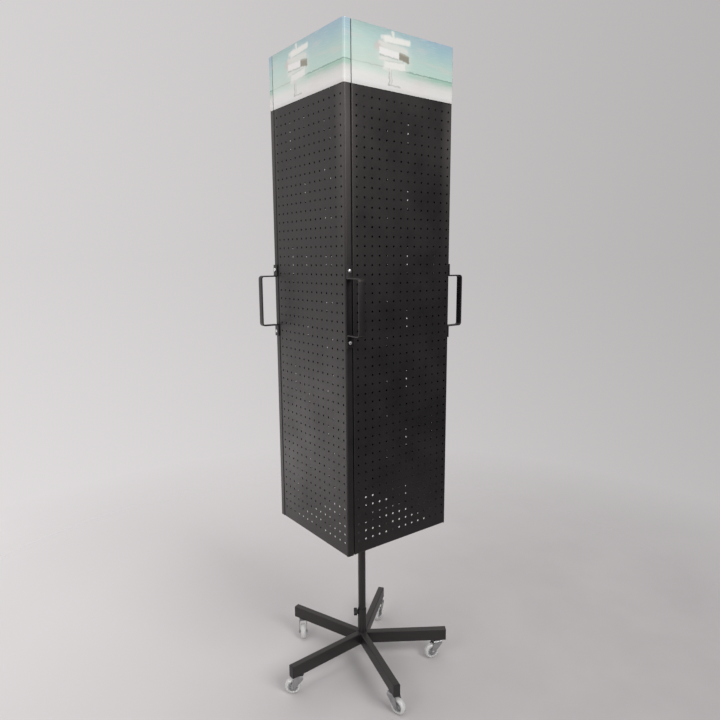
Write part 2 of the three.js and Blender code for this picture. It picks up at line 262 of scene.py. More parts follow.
def rotation(degrees, axis="Z"):
    return Matrix.Rotation(math.radians(degrees), 4, axis)


def pointing(direction, place):
    """Turns a piece built along +Z to a direction, at a place."""
    return Matrix.Translation(place) @ Vector(direction).to_track_quat("Z", "Y").to_matrix().to_4x4()


def side_turn(number):
    return rotation(90 * (number - 1))


def extent(node, direction, start=(0, 0, 0)):
    """The lowest and highest distance that a CAD piece reaches along a direction, from a point."""
    direction, start = Vector(direction), Vector(start)
    along = [(v.co - start).dot(direction) for v in frame["nodes"][node].data.vertices]
    return min(along), max(along)


def joint(name):
    return next(j for j in frame["joints"] if j["name"] == name)


# ---- Pieces ----


def new_object(name, shell, *materials):
    mesh = bpy.data.meshes.new(name)
    mesh.from_pydata(shell.verts, [], shell.faces)
    for material in materials:
        mesh.materials.append(material)
    obj = bpy.data.objects.new(name, mesh)
    SCENE.collection.objects.link(obj)
    return obj


def applied(obj):
    """The object's mesh as its modifiers leave it."""
    return bpy.data.meshes.new_from_object(obj.evaluated_get(bpy.context.evaluated_depsgraph_get()))


def thicken(obj, thickness, **settings):
    """Makes a sheet solid, inwards from its outer skin."""
    modifier = obj.modifiers.new("thickness", "SOLIDIFY")
    modifier.thickness = thickness
    modifier.offset = -1
    for key, value in settings.items():
        setattr(modifier, key, value)


def settle(obj, smooth_angle=32):
    """Applies the object's modifiers, then smooths it up to an angle."""
    mesh = applied(obj)
    obj.modifiers.clear()
    obj.data = mesh
    mesh.shade_smooth()
    mesh.set_sharp_from_angle(angle=math.radians(smooth_angle))


def piece(name, shell, body, finish, stands_for=(), bevel=0, smooth_angle=32, solid=0):
    """Makes a shell into an object that rides on a body. A finish is a material and its slot; the slot is
    not used. Bevel eases edges, and solid is a sheet's thickness."""
    material, slot = finish
    obj = new_object(name, shell, material)
    if solid:
        thicken(obj, solid, use_even_offset=True)
    if bevel:
        ease = obj.modifiers.new("eased edges", "BEVEL")
        ease.width = bevel
        ease.segments = 2
        ease.limit_method = "ANGLE"
        ease.angle_limit = math.radians(40)
    settle(obj, smooth_angle)
    obj.data.name = name
    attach(obj, body)
    if stands_for:
        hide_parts(*stands_for)


# ---- Materials ----


class Nodes:
    """Short ways to wire up a node tree."""

    def __init__(self, tree):
        self.tree = tree

    def find(self, kind):
        return next(n for n in self.tree.nodes if n.type == kind)

    def fill(self, node, inputs):
        """Gives each input a value, or a socket to follow."""
        for key, value in inputs.items():
            socket = node.inputs[key]
            if isinstance(value, bpy.types.NodeSocket):
                self.tree.links.new(value, socket)
            else:
                socket.default_value = (*value, 1) if socket.type == "RGBA" else value

    def node(self, kind, inputs=None, **settings):
        made = self.tree.nodes.new(kind)
        for key, value in settings.items():
            setattr(made, key, value)
        self.fill(made, inputs or {})
        return made

    def split(self, vector):
        """A vector's X, Y and Z."""
        return self.node("ShaderNodeSeparateXYZ", {"Vector": vector}).outputs

    def remap(self, value, low, high, to_low=0, to_high=1):
        spans = {"From Min": low, "From Max": high, "To Min": to_low, "To Max": to_high}
        return self.node("ShaderNodeMapRange", {"Value": value, **spans}).outputs["Result"]

    def math(self, operation, first, *others):
        """Arithmetic on numbers and sockets, from left to right."""
        steps = [{1: other} for other in others] or [{}]
        for step in steps:
            first = self.node("ShaderNodeMath", {0: first, **step}, operation=operation).outputs["Value"]
        return first

    def toward_light(self, vector):
        """How far a point or direction lies towards the bright side."""
        inputs = {0: vector, 1: BRIGHT_SIDE}
        return self.node("ShaderNodeVectorMath", inputs, operation="DOT_PRODUCT").outputs["Value"]

    def ramp(self, value, stops):
        node = self.node("ShaderNodeValToRGB", {"Fac": value})
        elements = node.color_ramp.elements
        while len(elements) < len(stops):
            elements.new(0.5)
        for element, (place, color) in zip(elements, stops):
            element.position = place
            element.color = (*color, 1)
        return node.outputs["Color"]


class Look(Nodes):
    """A node material with one Principled shader, and short ways to put texture into it."""

    def __init__(self, name, color, roughness, metallic=0.0, **settings):
        self.material = bpy.data.materials.new(name)
        self.material.use_nodes = True
        super().__init__(self.material.node_tree)
        self.shader = self.find("BSDF_PRINCIPLED")
        self.fill(self.shader, {"Base Color": color, "Roughness": roughness, "Metallic": metallic})
        self.fill(self.shader, {key.replace("_", " "): value for key, value in settings.items()})
        self.place = self.node("ShaderNodeTexCoord").outputs["Object"]
        self.material.diffuse_color = (*color, 1)

    def noise(self, scale, detail=3, roughness=0.55, stretch=(1, 1, 1), source=None, shift=0.0):
        """Noise whose grains are about 1/scale metres."""
        place = {"Vector": source or self.place, "Scale": stretch, "Location": (shift, shift, 0)}
        mapped = self.node("ShaderNodeMapping", place).outputs["Vector"]
        grain = {"Vector": mapped, "Scale": scale, "Detail": detail, "Roughness": roughness}
        return self.node("ShaderNodeTexNoise", grain).outputs["Fac"]

    def mix(self, factor, first, second):
        """Mixes two colours, each a tuple or a socket."""
        inputs = {"Factor": factor, 6: first, 7: second}
        return self.node("ShaderNodeMix", inputs, data_type="RGBA").outputs[2]

    def patch(self, base, over, noise, low, high, most=1.0):
        """Lets a second colour come up as the noise rises from low to high."""
        return self.mix(self.remap(noise, low, high, 0, most), base, over)

    def color_from(self, socket):
        self.fill(self.shader, {"Base Color": socket})

    def vary_roughness(self, noise, smoothest, roughest, low=0.3):
        self.fill(self.shader, {"Roughness": self.remap(noise, low, 0.7, smoothest, roughest)})

    def bump(self, height, distance, strength):
        """Adds relief; height runs 0 to 1 over a distance in metres. Calls stack up."""
        relief = {"Height": height, "Distance": distance, "Strength": strength}
        earlier = self.shader.inputs["Normal"].links
        if earlier:
            relief["Normal"] = earlier[0].from_socket
        self.fill(self.shader, {"Normal": self.node("ShaderNodeBump", relief).outputs["Normal"]})


WARM_SHEEN = (1.0, 0.9, 0.915)


def corner_painted_highlight(look, patches):
    """A painted highlight along the tower's corners, towards the top: how much there is, and its tone."""
    place = look.split(look.place)
    outward = look.math("ADD", look.math("ABSOLUTE", place["X"]), look.math("ABSOLUTE", place["Y"]))
    near_corner = look.remap(outward, 2 * FACE - 46 * MM, 2 * FACE - 8 * MM)
    near_top = look.remap(place["Z"], 1.32, 1.7)
    uneven = look.remap(patches, 0.2, 0.6, 0.6, 1)
    # The lighter tone is a painted highlight, where the corners catch the light from above.
    return look.math("MULTIPLY", near_corner, near_top, uneven), (0.062, 0.06, 0.056)


def settled_dust(look, patches):
    """Dust on what faces up: how much there is, and its tone."""
    normal = look.split(look.node("ShaderNodeNewGeometry").outputs["Normal"])
    uneven = look.remap(patches, 0.2, 0.7, 0.7, 1)
    return look.math("MULTIPLY", look.remap(normal["Z"], 0.7, 0.98), uneven), (0.034, 0.032, 0.031)


def powder_coat(name, shade, dust_and_painted_highlight=None):
    """Satin black powder coat: a fine orange peel, a few lighter specks, and a little dust in patches; where
    asked, also dust on top faces or a painted highlight along the corners.
    """
    roughness = 0.42
    look = Look(name, (shade, shade * 0.97, shade * 0.97), roughness, IOR=1.55, Specular_Tint=WARM_SHEEN)
    plain = (shade * 0.9, shade * 0.875, shade * 0.875)
    dusty = (shade * 1.45, shade * 1.4, shade * 1.38)
    fleck = (shade * 2.4, shade * 2.35, shade * 2.3)
    patches = look.noise(7, detail=5, roughness=0.6)
    specks = look.noise(900, detail=2)
    base = look.patch(plain, dusty, patches, 0.35, 0.75)
    # An optional layer mixed over the coat: real dust, or a painted highlight.
    if dust_and_painted_highlight:
        amount, tone = dust_and_painted_highlight(look, patches)
        base = look.mix(amount, base, tone)
    look.color_from(look.patch(base, fleck, specks, 0.62, 0.75, 0.5))
    look.vary_roughness(patches, roughness - 0.05, roughness + 0.08)
    look.bump(look.noise(650, detail=2), 0.05 * MM, 0.55)
    look.bump(look.noise(60, detail=2), 0.12 * MM, 0.2)
    return look.material


def zinc(name, color, roughness):
    """Zinc plate: bright metal with clouding, bloom in small spots, and pits."""
    look = Look(name, color, roughness, 1.0)
    dull, bloom = tuple(c * 0.72 for c in color), (0.82, 0.8, 0.74)
    clouds = look.noise(70, detail=4)
    pits = look.noise(420, detail=3)
    look.color_from(look.patch(look.patch(color, dull, clouds, 0.35, 0.7), bloom, pits, 0.5, 0.75, 0.35))
    look.vary_roughness(clouds, roughness - 0.08, roughness + 0.14)
    look.bump(pits, 0.02 * MM, 0.5)
    return look.material


def moulded_plastic(name, shade, roughness):
    """Moulded black plastic with a spark-eroded grain and light handling marks."""
    black, worn = (shade, shade, shade), (shade * 1.9, shade * 1.9, shade * 1.85)
    look = Look(name, black, roughness)
    marks = look.noise(140, detail=4, roughness=0.65)
    look.color_from(look.patch(black, worn, marks, 0.5, 0.8))
    look.vary_roughness(marks, roughness - 0.06, roughness + 0.1)
    look.bump(look.noise(1600, detail=2), 0.04 * MM, 0.6)
    return look.material


def clear_urethane():
    """Cast clear polyurethane, a little milky, scuffed dull and dusty on its tread."""
    clean, dusty = (0.92, 0.93, 0.92), (0.7, 0.69, 0.67)
    look = Look("clear urethane", (0.9, 0.91, 0.9), 0.16, IOR=1.48, Transmission_Weight=0.3)
    scuffs = look.noise(260, detail=5, roughness=0.7)
    look.color_from(look.patch(clean, dusty, scuffs, 0.5, 0.75, 0.55))
    look.vary_roughness(scuffs, 0.1, 0.34, low=0.35)
    look.bump(scuffs, 0.05 * MM, 0.35)
    return look.material


def wheel_core():
    """Frosted translucent plastic of the wheel's centre."""
    frosted, cloudy = (0.66, 0.68, 0.68), (0.46, 0.47, 0.47)
    look = Look("wheel core", (0.62, 0.64, 0.64), 0.35, IOR=1.46, Transmission_Weight=0.25)
    clouds = look.noise(120, detail=4)
    look.color_from(look.patch(frosted, cloudy, clouds, 0.35, 0.7))
    look.vary_roughness(clouds, 0.28, 0.5)
    look.bump(look.noise(900), 0.03 * MM, 0.5)
    return look.material


def ink(red, green, blue):
    """A printed colour, given as it looks on a screen (0 to 255), as the share of light it sends back."""
    paper, whitest = 0.93, 0.92
    shares = [c / 255 for c in (red, green, blue)]  # then the sRGB curve
    linear = [s / 12.92 if s < 0.04 else ((s + 0.055) / 1.055) ** 2.4 for s in shares]
    return tuple(min(s / paper, whitest) for s in linear)


# The print's tones from its foot (0) to its top (1), at its left and right ends.
WEST = [(0, (214, 215, 212)), (0.08, (230, 231, 229)), (0.2, (232, 233, 230)), (0.3, (214, 229, 221)),
        (0.36, (205, 222, 212)), (0.62, (196, 219, 211)), (0.85, (180, 208, 203)), (1, (163, 191, 186))]
EAST = [(0, (212, 213, 210)), (0.08, (228, 228, 226)), (0.18, (224, 225, 221)), (0.26, (204, 214, 208)),
        (0.335, (162, 198, 181)), (0.385, (188, 216, 206)), (0.6, (182, 209, 202)), (0.82, (163, 196, 202)),
        (1, (158, 185, 199))]

# Blank painted boards: middle and size in millimetres, tilt in degrees, tone, strength, and half the width of
# the soft edge in millimetres.
BOARDS = [
    ((90, 106), (30, 20), 12, (219, 190, 186), 0.5, 7),  # rosy smudge left of the boards
    ((129, 40), (11, 52), 1, (220, 221, 216), 0.9, 2),  # post
    ((124.5, 36), (2.6, 46), 1, (150, 156, 150), 0.75, 1),  # its shaded side
    ((133.5, 38), (2.0, 42), 1, (186, 190, 184), 0.6, 1),
    ((143, 14), (44, 3), -2, (166, 168, 162), 0.65, 1.5),  # its shadow on the sand
    ((138, 141), (9, 15), 0, (232, 235, 228), 0.85, 2),  # top of the post
    ((112, 131), (34, 9), 9, (236, 234, 230), 0.75, 2.5),
    ((154, 128), (92, 15), 3, (238, 238, 232), 0.9, 3),
    ((158, 119), (80, 2.4), 2, (170, 190, 180), 0.5, 1.6),
    ((108, 113), (40, 8), -7, (228, 224, 220), 0.75, 2.5),
    ((142, 109), (96, 11), -2, (222, 225, 218), 0.85, 3),
    ((126, 93), (70, 17), -3, (240, 240, 236), 0.95, 2),
    ((124, 84), (66, 2.6), -3, (140, 150, 140), 0.6, 1.5),
    ((176, 90), (35, 18), -9, (146, 143, 128), 0.95, 2),  # the one dark board
    ((176, 97), (30, 2.6), -9, (186, 184, 168), 0.6, 1.2),
    ((104, 78), (30, 9), 6, (230, 229, 224), 0.7, 2.5),
    ((144, 65), (72, 19), 2, (236, 237, 232), 0.9, 2),
    ((142, 74), (62, 2.4), 3, (172, 182, 172), 0.5, 1.5),
    ((116, 52), (30, 7), -5, (232, 231, 226), 0.65, 2.5),
]


def painted_board(look, across, height, scene, board):
    middle, size, tilt, tone, strength, soft = board
    x = look.math("SUBTRACT", across, middle[0])
    y = look.math("SUBTRACT", height, middle[1])
    y = look.math("SUBTRACT", y, look.math("MULTIPLY", x, math.tan(math.radians(tilt))))
    inside = [look.remap(look.math("ABSOLUTE", value), length / 2 - soft, length / 2 + soft, 1, 0)
              for value, length in zip((x, y), size)]
    return look.mix(look.math("MULTIPLY", *inside, strength), scene, ink(*tone))


def header_print():
    """A seaside scene of the builder's own: hazy sky, a far shore, shallows, pale sand and a post of blank
    boards. It is laid out in millimetres from the film's lower left corner."""
    look = Look("header print", (0.7, 0.8, 0.8), 0.34, Coat_Weight=0.2, Coat_Roughness=0.2)
    uv = look.node("ShaderNodeUVMap", uv_map="film").outputs["UV"]
    film = look.split(uv)
    length, width = FILM_LENGTH / MM, FILM_HEIGHT / MM

    def wandering(value, span, shift, reach):
        """A coordinate in millimetres that wanders a little, so that painted edges aren't ruled."""
        sway = look.noise(14, detail=4, source=uv, stretch=(2.4, 1, 1), shift=shift)
        return look.math("ADD", look.math("MULTIPLY", value, span), look.remap(sway, 0.3, 0.7, -reach, reach))

    across = wandering(film["X"], length, 0.0, 2.6)
    height = wandering(film["Y"], width, 7.0, 1.5)
    up = look.math("DIVIDE", height, width)
    rightward = look.remap(across, 0, length)
    west, east = (look.ramp(up, [(place, ink(*tone)) for place, tone in tones]) for tones in (WEST, EAST))
    scene = look.patch(west, east, rightward, 0.1, 0.75)

    shore_height = 56.5
    from_shore = look.math("ABSOLUTE", look.math("SUBTRACT", height, shore_height))
    shore = look.math("MULTIPLY", look.remap(from_shore, 0.8, 2.6, 1, 0),
                      look.remap(rightward, 0.05, 0.6, 0.15, 0.85))
    scene = look.mix(shore, scene, ink(124, 160, 146))
    streaks = look.noise(9, detail=5, source=uv, stretch=(1, 6, 1))
    scene = look.patch(scene, ink(226, 232, 226), streaks, 0.5, 0.75, 0.3)
    blush = look.noise(4, detail=2, source=uv, stretch=(1, 1.5, 1), shift=3.0)
    scene = look.patch(scene, ink(222, 208, 206), blush, 0.52, 0.7, 0.25)

    # A round patch of haze behind the boards: its middle and its reach, across and up.
    squares = [look.math("POWER", look.math("DIVIDE", look.math("SUBTRACT", value, middle), reach), 2)
               for value, middle, reach in ((across, 143, 62), (height, 88, 56))]
    from_haze = look.math("SQRT", look.math("ADD", *squares))
    scene = look.mix(look.remap(from_haze, 0.55, 1.1, 0.62, 0), scene, ink(230, 230, 225))
    for board in BOARDS:
        scene = painted_board(look, across, height, scene, board)
    grain = look.noise(60, detail=4, source=uv)
    look.color_from(look.patch(scene, ink(168, 176, 170), grain, 0.55, 0.75, 0.12))
    look.vary_roughness(look.noise(40), 0.28, 0.42)
    look.bump(look.noise(500), 0.02 * MM, 0.3)
    return look.material


def film_back():
    """White back of the header film, seen through the peg holes from inside."""
    look = Look("film back", (0.78, 0.78, 0.77), 0.5)
    look.color_from(look.mix(look.noise(30), (0.74, 0.74, 0.73), (0.82, 0.82, 0.81)))
    look.bump(look.noise(500), 0.02 * MM, 0.3)
    return look.material


# The panels' coat carries the painted highlight along the tower's corners.
PANEL_COAT = powder_coat("panel powder coat", 0.0105, corner_painted_highlight), "black_powder_coat"
HANDLE_COAT = powder_coat("handle powder coat", 0.0105), "black_powder_coat"
TUBE_COAT = powder_coat("tube powder coat", 0.014, settled_dust), "black_powder_coat"
ZINC = zinc("zinc plate", (0.44, 0.45, 0.455), 0.34), "zinc_plate"
SCREW_METAL = zinc("bright plate", (0.95, 0.95, 0.95), 0.26), "bright_screw"
BLACK_PLASTIC = moulded_plastic("black plastic", 0.018, 0.5), "black_plastic"
URETHANE = clear_urethane(), "clear_wheel"
CORE = wheel_core(), "clear_wheel"
PRINT = header_print()
FILM_BACK = film_back()


# ---- Tower ----


def hole_cell(shell, centre, x_range, z_range, y):
    """One cell of the peg grid: sheet round a hole, whose border points match the next cell's."""
    sides = 16
    turns = circle_steps(sides)
    hole = [(centre[0] + PEG_RADIUS * math.cos(a), y, centre[1] + PEG_RADIUS * math.sin(a)) for a in turns]
    border = []
    for a in turns:
        reach = 1 / max(abs(math.cos(a)), abs(math.sin(a)))
        x = x_range[0] + (x_range[1] - x_range[0]) * (1 + math.cos(a) * reach) / 2
        z = z_range[0] + (z_range[1] - z_range[0]) * (1 + math.sin(a) * reach) / 2
        border.append((x, y, z))
    for i in range(sides):
        j = (i + 1) % sides
        shell.face([border[i], border[j], hole[j], hole[i]])


def border_steps(lines):
    """Every border point along a row of cells, between the first line and the last."""
    beside = math.tan(math.pi / 8) / 2  # from the middle of a cell's side to the points beside it
    steps = [0, 0.5 - beside, 0.5, 0.5 + beside]
    points = [a + (b - a) * t for a, b in zip(lines, lines[1:]) for t in steps]
    return points + [lines[-1]]


def panel_shell():
    """The outer skin of panel 1, with its peg holes, its bent strip, its inward edges and its hems."""
    shell = Shell()
    left, front = panel_low.x + SET_BACK, panel_low.y
    right, strip_end = panel_high.x, panel_high.y - SET_BACK
    flat_left, flat_right = left + EDGE_RADIUS + EASE, right - CORNER_RADIUS - EASE

    columns = [panel_low.x + PEG_MARGIN + PEG_PITCH * i for i in range(PEG_COLUMNS)]
    rows = [HEADER_LOW + PEG_PITCH * i for i in range(-PEG_ROWS_BELOW_HEADER, PEG_ROWS_BEHIND_HEADER + 1)]
    column_lines = [flat_left + EASE] + [x + PEG_PITCH / 2 for x in columns[:-1]] + [flat_right - EASE]
    row_lines = [rows[0] - PEG_PITCH / 2] + [z + PEG_PITCH / 2 for z in rows]
    for i, x in enumerate(columns):
        for j, z in enumerate(rows):
            hole_cell(shell, (x, z), column_lines[i : i + 2], row_lines[j : j + 2], front)

    # Plain sheet below and above the grid. The hems leave a small relief at each end.
    hem_left, hem_right = left + 3 * MM, right - CORNER_RADIUS - 2 * EASE
    across, upwards = border_steps(column_lines), border_steps(row_lines)
    for rim, grid, into in ((TOWER_LOW, row_lines[0], 1), (TOWER_HIGH, row_lines[-1], -1)):
        hem = rim + into * (EDGE_RADIUS + EASE)
        outline = [(flat_left, rim), (hem_left, rim), (hem_left, hem), (hem_right, hem), (hem_right, rim)]
        outline += [(flat_right, rim), (flat_right, grid)] + [(x, grid) for x in across[::-1]]
        shell.face([(x, front, z) for x, z in (outline + [(flat_left, grid)])[::into]])

    # Plain sheet to the left and right of the grid.
    for flat, line, order in ((flat_left, column_lines[0], 1), (flat_right, column_lines[-1], -1)):
        outline = [(flat, upwards[0])] + [(line, z) for z in upwards] + [(flat, upwards[-1])]
        shell.face([(x, front, z) for x, z in outline[::order]])

    # Upright bends: the inward edge on the left, then the corner, the strip and its own inward edge.
    edge, corner = EDGE_RADIUS, CORNER_RADIUS
    left_run = [(left, front + HEM), (left, front + edge + EASE)]
    left_run += arc((left + edge, front + edge), edge, 180, 270, 6) + [(flat_left, front)]
    right_run = [(flat_right, front)] + arc((right - corner, front + corner), corner, 270, 360, 10)
    right_run += [(right, front + corner + EASE), (right, strip_end - edge - EASE)]
    right_run += arc((right - edge, strip_end - edge), edge, 0, 90, 6)
    right_run += [(right - edge - EASE, strip_end), (right - HEM, strip_end)]
    levels = [TOWER_LOW, row_lines[0], row_lines[-1], TOWER_HIGH]
    for run in (left_run, right_run):
        for a, b in zip(run, run[1:]):
            for low, high in zip(levels, levels[1:]):
                shell.face([(*a, low), (*b, low), (*b, high), (*a, high)])

    # Hems: from the sheet round the edge and inwards.
    for rim, into in ((TOWER_LOW, 1), (TOWER_HIGH, -1)):
        run = [(front, rim + into * (edge + EASE))]
        run += arc((front + edge, rim + into * edge), edge, 180, 180 + into * 90, 6)
        run += [(front + edge + EASE, rim), (front + HEM, rim)]
        for a, b in zip(run, run[1:]):
            shell.face([(hem_left, *a), (hem_right, *a), (hem_right, *b), (hem_left, *b)][::-into])
    return shell


def film_piece(number):
    """The header film, bent round the corner over its panel, with the print on its outer side."""
    x, y = header_high.x, header_low.y
    bend = CORNER_RADIUS + (x - FACE)
    start, end = header_low.x + SET_BACK, header_high.y - SET_BACK
    run = [(start, y)] + arc((x - bend, y + bend), bend, 270, 360, 10) + [(x, end)]
    shell = Shell()
    spots = {}  # the distance along the film of each place on it
    travelled = 0.0
    for a, b in zip(run, run[1:]):
        shell.face([(*a, HEADER_LOW), (*b, HEADER_LOW), (*b, TOWER_HIGH), (*a, TOWER_HIGH)])
        spots[a] = travelled
        travelled += math.dist(a, b)
    spots[run[-1]] = travelled

    obj = new_object(f"header_film_{number}", shell, PRINT, FILM_BACK)
    mesh = obj.data
    layer = mesh.uv_layers.new(name="film")
    for loop in mesh.loops:
        point = mesh.vertices[loop.vertex_index].co
        along = spots[min(spots, key=lambda spot: math.dist(spot, point.xy))]
        layer.data[loop.index].uv = (along / travelled, (point.z - HEADER_LOW) / FILM_HEIGHT)
    mesh.transform(side_turn(number))
    thicken(obj, 0.5 * MM, material_offset=1, material_offset_rim=1)
    settle(obj)
    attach(obj, "tower")
    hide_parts(f"header_{number}")


def handle_shell():
    """The flat bar handle on side 1's strip, which stands out along +X."""
    thickness, width, edge = 4 * MM, handle_high.y - handle_low.y, 1.9 * MM
    arm = 35 * MM  # end of a foot to the middle of its arm
    foot_bend, grip_bend = 4 * MM, 8 * MM
    foot, grip = handle_low.x + thickness / 2, handle_high.x - thickness / 2
    low, high = handle_low.z, handle_high.z
    corners = [(foot, low, 0), (foot, low + arm, foot_bend), (grip, low + arm, grip_bend)]
    corners += [(x, low + high - z, bend) for x, z, bend in corners[::-1]]
    return swept_bar(corners, thickness, width, edge).moved(Matrix.Translation((0, STRIP_MIDDLE, 0)))


def cross_slot(radius, width, low, high):
    """Cutter for a cross recess: two crossed blades that taper towards their foot."""
    foot_share = 0.45
    shell = Shell()
    for turn in QUARTERS[:2]:
        loops = []
        for x, z in ((radius * foot_share, low), (radius, high)):
            loops.append([(x, -width / 2, z), (x, width / 2, z), (-x, width / 2, z), (-x, -width / 2, z)])
        shell.add(rings(loops), rotation(turn))
    return shell


def screw_shell(node):
    """A pan-head screw along +Z, with a cross recess in its head and a nut at its other end."""
    low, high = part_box(node)
    length, head_radius = high.x - low.x, (high.z - low.z) / 2
    head_low, dome = length - 3 * MM, 2.6 * MM
    recess_radius, recess_width, recess_depth = 2.9 * MM, 1.1 * MM, 1.9 * MM
    nut_radius, nut_low, nut_high = 4.6 * MM, 0.4 * MM, 4 * MM
    shank, chamfered, tip = 2.5 * MM, 2.3 * MM, 1.9 * MM
    rise = [math.radians(15 * i) for i in range(6)]
    profile = [(0, head_low), (head_radius * 0.96, head_low), (head_radius, head_low + 0.2 * MM)]
    profile += [(head_radius * math.cos(a), length - dome * (1 - math.sin(a))) for a in rise] + [(0, length)]

    head = new_object("head", turned(profile, 40))
    recess = cross_slot(recess_radius, recess_width, length - recess_depth, length + 0.6 * MM)
    cutter = new_object("cutter", recess)
    cut = head.modifiers.new("recess", "BOOLEAN")
    cut.object = cutter
    cut.solver = "EXACT"
    cut.use_self = True
    result = applied(head)
    shell = Shell()
    shell.verts = [v.co.copy() for v in result.vertices]
    shell.faces = [list(p.vertices) for p in result.polygons]
    for obj in (head, cutter):
        bpy.data.objects.remove(obj)
    shell.add(rod(shank, nut_high, head_low, 20))
    shell.add(prism(hexagon(nut_radius), nut_low, nut_high))
    shell.add(turned([(0, 0), (tip, 0), (chamfered, nut_low), (0, nut_low)], 20))
    return shell


def make_tower_sides():
    panel, handle, screw = panel_shell(), handle_shell(), screw_shell("handle_screw_1a")
    for number in (1, 2, 3, 4):
        turn = side_turn(number)
        sheet = panel.moved(turn)
        piece(f"panel_sheet_{number}", sheet, "tower", PANEL_COAT, [f"panel_{number}"], solid=SHEET)
        film_piece(number)
        piece(f"handle_bar_{number}", handle.moved(turn), "tower", HANDLE_COAT, [f"handle_{number}"])
        for end, start in (("a", 0), ("b", 40)):
            low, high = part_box(f"handle_screw_1{end}")
            spot = Vector((low.x, (low.y + high.y) / 2, (low.z + high.z) / 2))
            driven = 17 * number + start  # degrees, so that no two recesses line up
            stand = Matrix.Translation(spot) @ rotation(driven, "X") @ rotation(90, "Y")
            piece(f"pan_screw_{number}{end}", screw.moved(turn @ stand), "tower", SCREW_METAL,
                  [f"handle_screw_{number}{end}"], smooth_angle=40)


# ---- Pole, cross frames and lock ----


def make_cross(name, raised):
    """A cross frame: a hub on the pole and four flat bars on edge that end in tabs against the panels."""
    low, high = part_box(name)
    bore, hub, bar_half, tab_half, tab = 12.95 * MM, 17.5 * MM, 2.5 * MM, 16 * MM, 3 * MM
    bottom, height = low.z + raised, 25 * MM
    bar_end = high.x - tab
    shell = Shell().add(tube(bore, hub, low.z, high.z, 0.8 * MM, 48))
    beads = Shell()
    for turn in QUARTERS:
        for half, start, end in ((bar_half, hub - 1 * MM, bar_end), (tab_half, bar_end, high.x)):
            outline = [(-half, bottom), (half, bottom), (half, bottom + height), (-half, bottom + height)]
            shell.add(along_x(outline, start, end), rotation(turn))
        for y in (-bar_half, bar_half):
            for x in (hub, bar_end):
                ends = [Vector((x, y, bottom + share * height)) for share in (0.04, 0.96)]
                beads.add(weld_bead(ends, 1.6 * MM), rotation(turn))
    piece(f"{name}_frame", shell, "tower", TUBE_COAT, [name], bevel=0.5 * MM)
    piece(f"{name}_welds", beads, "tower", TUBE_COAT)


def make_pole():
    low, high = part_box("pole")
    radius, wall = high.x, 1.5 * MM
    piece("pole_tube", tube(radius - wall, radius, low.z, high.z, 0.4 * MM, 72), "pole", TUBE_COAT, ["pole"])
    low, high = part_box("thrust_collar")
    collar = tube(radius + CLEARANCE, high.x, low.z, high.z, 0.9 * MM, 64)
    piece("collar_ring", collar, "pole", TUBE_COAT, ["thrust_collar"])


def make_lock():
    """The lobed knob and its threaded stud."""
    turn = joint("lock_knob_turn")
    axis, centre = Vector(turn["axis"]), Vector((0, 0, turn["pos_m"][2]))
    stand = pointing(axis, centre)

    start, end = extent("lock_knob", axis, centre)
    radius, rounding = 12.3 * MM, 2.5 * MM
    lobes, lobe = 6, 1.1 * MM
    back, face = 0.8 * radius, 0.7 * radius
    loops = []
    for reach, z in soften([(back, start), (radius, start), (radius, end), (face, end)], rounding, 5):
        rim = [(reach - lobe + lobe * math.cos(lobes * a), a) for a in circle_steps(96)]
        loops.append([(r * math.cos(a), r * math.sin(a), z) for r, a in rim])
    piece("knob_grip", rings(loops).moved(stand), "lock_knob", BLACK_PLASTIC, ["lock_knob"])

    start, end = extent("lock_stud", axis, centre)
    crest, root, pitch = 3.95 * MM, 3.4 * MM, 1.25 * MM
    profile = [(0, start), (root, start)]
    z = start + 0.3 * MM
    while z + pitch < end:
        profile += [(root, z), (crest, z + pitch * 0.45), (crest, z + pitch * 0.55)]
        z += pitch
    profile += [(root, z), (root, end), (0, end)]
    piece("threaded_stud", turned(profile, 32).moved(stand), "lock_stud", ZINC, ["lock_stud"])


# ---- Base ----

CASTERS = range(1, 6)
SOCKET_RADIUS = 14.3 * MM
LEG_CORNER = 3 * MM
LEG_HEADINGS = [math.degrees(math.atan2(*joint(f"caster_swivel_{n}")["pos_m"][1::-1])) for n in CASTERS]
leg_right, leg_left = extent("leg_1", rotation(LEG_HEADINGS[0]) @ Vector((0, 1, 0)))
LEG_WIDTH = leg_left - leg_right
FORK_SHEET = 2 * MM


def hex_ring(radius, bore, low, high):
    """A six-sided nut with a round hole."""
    per_side, chamfer, chamfer_height = 6, 0.93, 0.5 * MM
    corners = hexagon(radius)
    outer = []
    for a, b in zip(corners, corners[1:] + corners[:1]):
        outer += [tuple(Vector(a).lerp(Vector(b), i / per_side)) for i in range(per_side)]
    inner = [tuple(Vector(p).normalized() * bore) for p in outer]
    loops = [(outer, 1, low), (outer, 1, high - chamfer_height), (outer, chamfer, high), (inner, 1, high),
             (inner, 1, low)]
    solid = [[(x * k, y * k, z) for x, y in outline] for outline, k, z in loops]
    return rings(solid + [solid[0]], closed_ends=False)


